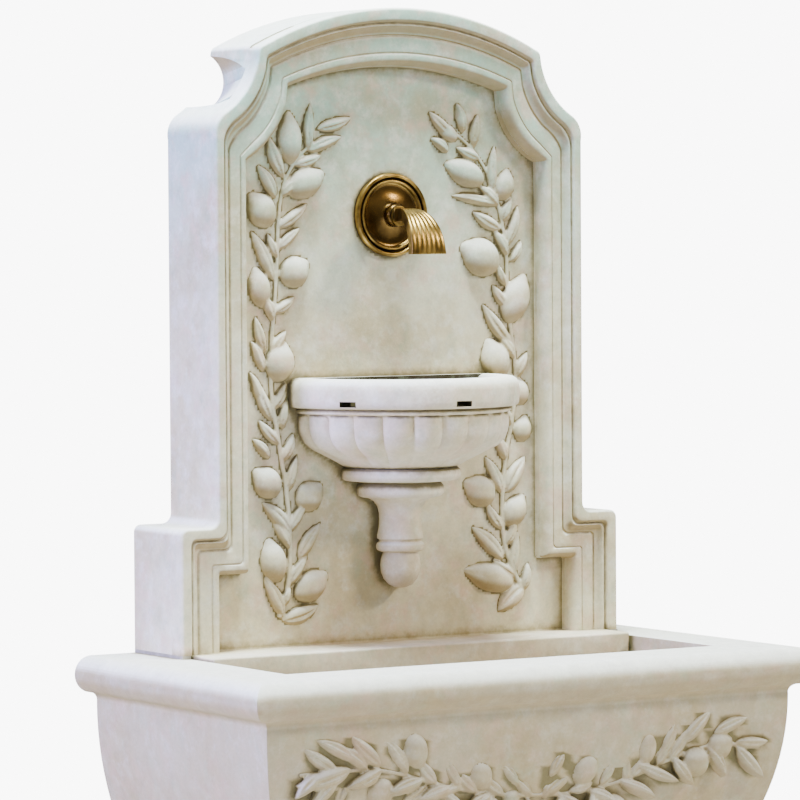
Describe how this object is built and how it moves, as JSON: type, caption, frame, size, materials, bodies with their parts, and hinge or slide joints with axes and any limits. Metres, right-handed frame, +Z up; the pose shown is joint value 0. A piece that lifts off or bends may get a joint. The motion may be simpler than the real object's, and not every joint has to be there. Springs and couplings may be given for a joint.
{
  "type": "garden wall fountain",
  "caption": "Cast-stone wall fountain: arched panel with sunk field, brass lip spout, fluted half bowl on a corbel, bellied trough basin, hidden pump and hose.",
  "frame": {"origin": "middle of the rectangle of ground that the fountain covers, at ground level", "axes": "+Z up, -Y out of the front, away from the house wall, +X to the right as seen from the front"},
  "size_m": [0.96, 0.524, 1.384],
  "materials": {
    "cast_stone": "aged, matt, washed",
    "mortar": "matt",
    "aged_brass": "antique patina",
    "bright_brass": "turned",
    "black_rubber": "matt",
    "black_hose": "satin",
    "stainless_steel": "satin",
    "zinc_plated_steel": "dull zinc",
    "black_plastic": "moulded",
    "grey_plastic": "moulded",
    "white_plastic": "moulded"
  },
  "bodies": {
    "fountain": {"back_panel": "cast_stone", "basin": "cast_stone", "bowl": "cast_stone", "bowl_corbel": "cast_stone", "bowl_dowels": "stainless_steel", "cable_gland": "black_plastic", "cleat_screws": "stainless_steel", "corbel_dowels": "stainless_steel", "drain_backnut": "grey_plastic", "drain_fitting": "bright_brass", "drain_washer": "black_rubber", "hose_clips": "stainless_steel", "hose_elbow": "bright_brass", "hose_saddles": "grey_plastic", "impeller_pin": "stainless_steel", "ledge_block": "cast_stone", "locating_pins": "stainless_steel", "mortar_bed": "mortar", "panel_cleat": "zinc_plated_steel", "pump_body": "black_plastic", "pump_gland": "black_plastic", "pump_grille": "black_plastic", "pump_outlet": "grey_plastic", "riser_hose": "black_hose", "rosette_gasket": "black_rubber", "saddle_screws": "stainless_steel", "spout_lip": "aged_brass", "spout_rosette": "aged_brass", "spout_tail": "bright_brass", "suction_feet": "black_rubber", "tail_backnut": "bright_brass", "tail_washer": "black_rubber", "wall_cleat": "zinc_plated_steel"},
    "pump_impeller": {"impeller": "white_plastic"},
    "pump_knob": {"flow_knob": "grey_plastic"},
    "basin_plug": {"drain_plug": "black_rubber"}
  },
  "joints": [
    {"name": "impeller_spin", "type": "hinge", "parent": "fountain", "child": "pump_impeller", "pos_m": [0, 0.14, 0.13572], "axis": [0, 1, 0], "continuous": true},
    {"name": "knob_turn", "type": "hinge", "parent": "fountain", "child": "pump_knob", "pos_m": [0.0392, 0.11, 0.1608], "axis": [0, 1, 0], "range_deg": [0, 90]},
    {"name": "plug_lift", "type": "slide", "parent": "fountain", "child": "basin_plug", "axis": [0, 0, 1], "range_m": [0, 0.06]}
  ]
}
